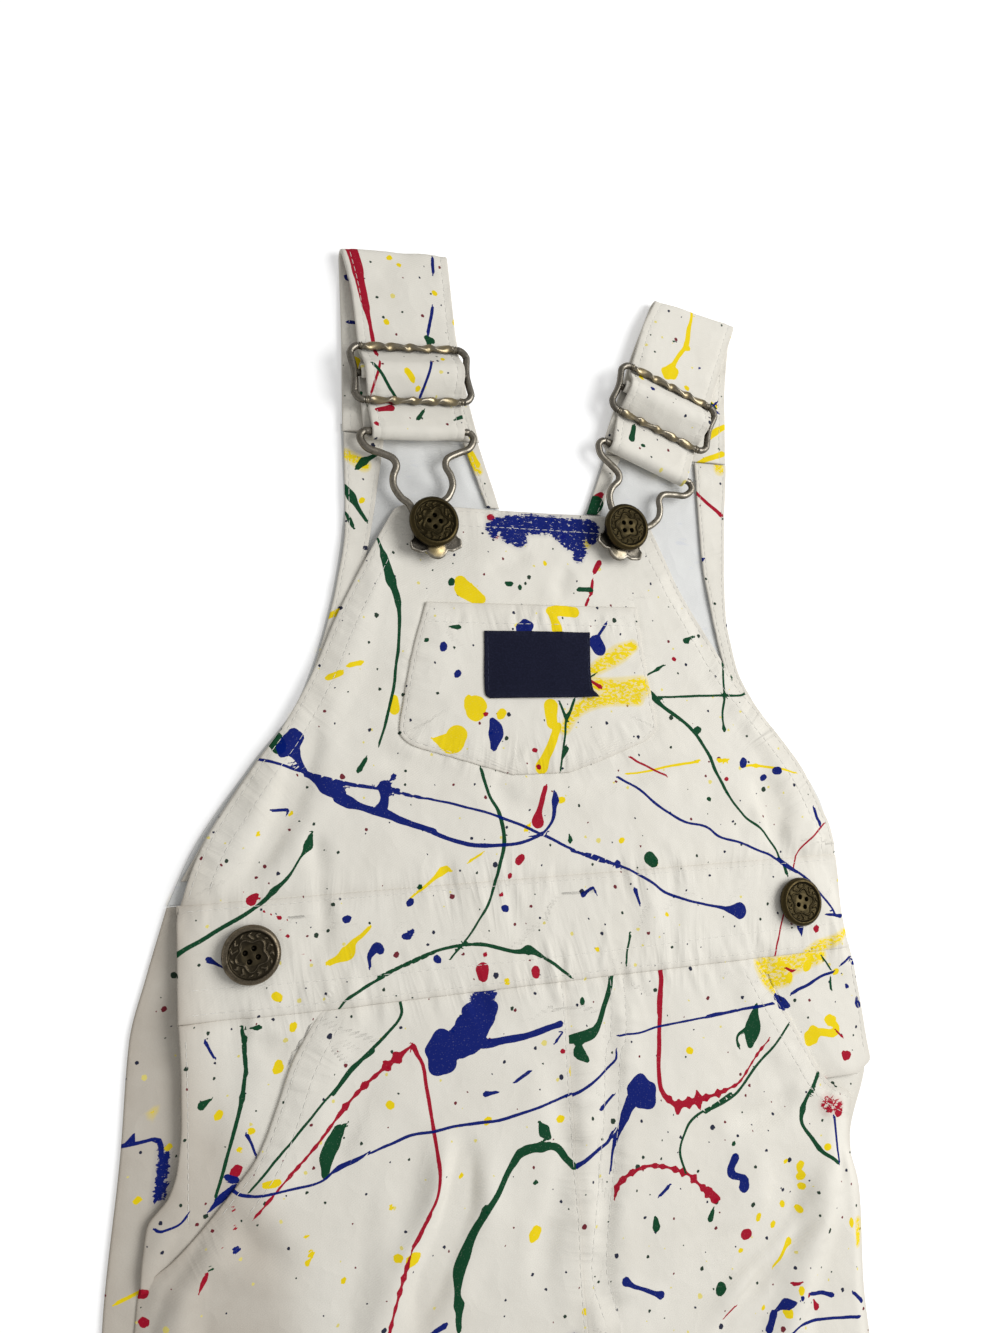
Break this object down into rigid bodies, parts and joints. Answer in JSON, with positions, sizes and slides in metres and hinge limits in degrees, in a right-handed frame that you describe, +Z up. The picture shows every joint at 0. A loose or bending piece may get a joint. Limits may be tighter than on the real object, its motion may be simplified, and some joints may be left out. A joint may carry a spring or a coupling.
{
  "type": "infant's paint spattered bib overalls",
  "caption": "Bib overalls for an infant, laid flat face up with both shoulder straps buckled and the side buttons closed.",
  "frame": {"origin": "under the middle of the garment's box, on the surface it lies on", "axes": "+X across the garment to the viewer's right, +Y from the legs to the shoulder straps, +Z up from the surface through the layers of cloth"},
  "size_m": [0.256, 0.521, 0.0109],
  "materials": {
    "print_twill": "washed cotton twill, off-white with a spatter print",
    "twill_wrong_side": "wrong side of the twill, matt",
    "navy_label": "woven damask, matt",
    "aged_nickel": "antique nickel plating, worn",
    "dark_brass": "antique brass, darkened"
  },
  "bodies": {
    "root": {"back_leg_left": "print_twill", "back_leg_right": "print_twill", "back_yoke_left": "twill_wrong_side", "back_yoke_right": "twill_wrong_side", "armhole_facing_left": "print_twill", "armhole_facing_right": "print_twill", "neck_facing_left": "print_twill", "neck_facing_right": "print_twill", "hip_left": "print_twill", "hip_right": "print_twill", "front_leg_left": "print_twill", "front_leg_right": "print_twill", "waistband": "print_twill", "bib": "print_twill", "bib_pocket": "print_twill", "label": "navy_label", "strap_left": "print_twill", "strap_right": "print_twill", "hook_left": "aged_nickel", "hook_right": "aged_nickel", "slider_left": "aged_nickel", "slider_right": "aged_nickel", "keeper_left": "aged_nickel", "keeper_right": "aged_nickel", "bib_button_left": "dark_brass", "bib_button_right": "dark_brass", "side_button_left": "dark_brass", "side_button_right": "dark_brass"}
  },
  "joints": []
}
